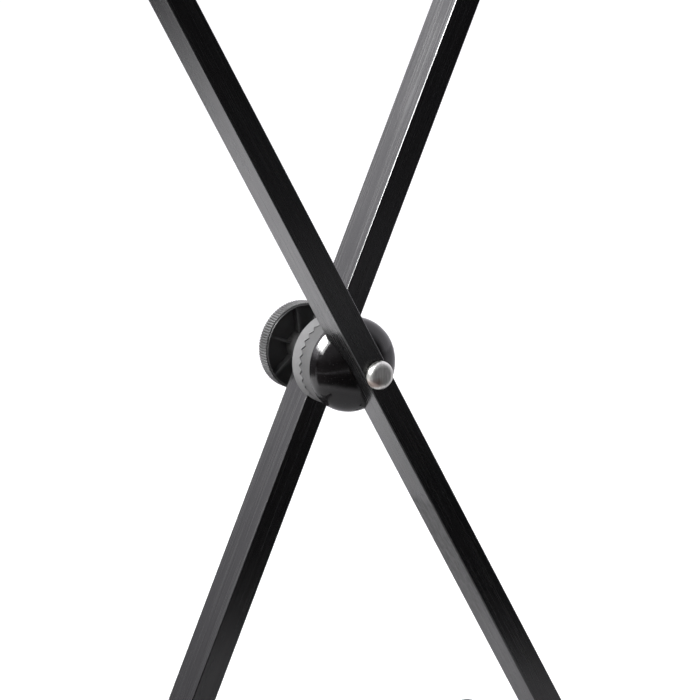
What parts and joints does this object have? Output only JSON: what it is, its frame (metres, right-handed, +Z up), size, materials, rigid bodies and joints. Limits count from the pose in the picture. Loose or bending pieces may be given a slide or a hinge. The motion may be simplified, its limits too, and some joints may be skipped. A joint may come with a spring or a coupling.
{
  "type": "keyboard stand",
  "caption": "Folding X-shaped keyboard stand: crossed rectangular legs on a toothed clutch with a hand knob, round foot bars and support arms.",
  "frame": {"origin": "on the floor, under the middle of the pivot", "axes": "+Z up, +X across the legs, +Y from the bolt head back towards the knob, along the foot bars"},
  "size_m": [0.5014, 0.414, 0.8262],
  "materials": {
    "black_powder_coat": "semi-gloss black paint on steel tube",
    "bracket_plastic": "moulded black nylon, fine texture",
    "foot_rubber": "matt black rubber",
    "sleeve_rubber": "ribbed black rubber",
    "plug_plastic": "black plastic",
    "zinc_plate": "bright zinc plate",
    "bolt_chrome": "bright plated domed head",
    "plain_steel": "plain steel",
    "bush_brass": "turned brass",
    "nylon": "natural nylon",
    "dome_gloss": "high-gloss black",
    "disc_plastic": "satin dark grey, filled nylon",
    "knob_plastic": "satin black, fine ribs",
    "knob_cap_plastic": "black"
  },
  "bodies": {
    "front_leg": {"front_leg_tube": "black_powder_coat", "front_foot_bracket": "bracket_plastic", "front_arm_bracket": "bracket_plastic", "front_foot_bar": "black_powder_coat", "front_foot_caps": "foot_rubber", "front_arm": "black_powder_coat", "front_arm_sleeves": "sleeve_rubber", "front_arm_plugs": "plug_plastic", "front_bracket_bolts": "zinc_plate", "front_bracket_nuts": "zinc_plate", "front_bar_screws": "zinc_plate", "pivot_bolt": "bolt_chrome", "front_crush_sleeve": "plain_steel", "dome_housing": "dome_gloss", "toothed_disc_front": "disc_plastic", "front_disc_screws": "plain_steel", "stop_pin": "plain_steel", "clutch_spring": "plain_steel"},
    "clutch_carrier": {"pivot_bush": "bush_brass", "steel_washer": "zinc_plate", "nylon_washer": "nylon"},
    "rear_leg": {"rear_leg_tube": "black_powder_coat", "rear_foot_bracket": "bracket_plastic", "rear_arm_bracket": "bracket_plastic", "rear_foot_bar": "black_powder_coat", "rear_foot_caps": "foot_rubber", "rear_arm": "black_powder_coat", "rear_arm_sleeves": "sleeve_rubber", "rear_arm_plugs": "plug_plastic", "rear_bracket_bolts": "zinc_plate", "rear_bracket_nuts": "zinc_plate", "rear_bar_screws": "zinc_plate", "rear_crush_sleeve": "plain_steel", "toothed_disc_rear": "disc_plastic", "rear_disc_screws": "plain_steel"},
    "knob": {"clutch_knob": "knob_plastic", "knob_insert": "bush_brass", "knob_cap": "knob_cap_plastic"}
  },
  "joints": [
    {"name": "clutch_release", "type": "slide", "parent": "front_leg", "child": "clutch_carrier", "axis": [0, 1, 0], "range_m": [0, 0.004], "deforming": ["clutch_spring"]},
    {"name": "leg_fold", "type": "hinge", "parent": "clutch_carrier", "child": "rear_leg", "pos_m": [0, 0, 0.4131], "axis": [0, 1, 0], "range_deg": [-52.94, 10.59]},
    {"name": "knob_turn", "type": "hinge", "parent": "clutch_carrier", "child": "knob", "pos_m": [0, 0, 0.4131], "axis": [0, 1, 0], "range_deg": [0, 1152]}
  ],
  "couplings": [
    {"joint": "knob_turn", "follows": "clutch_release", "rad_per_m": 5026.5}
  ]
}
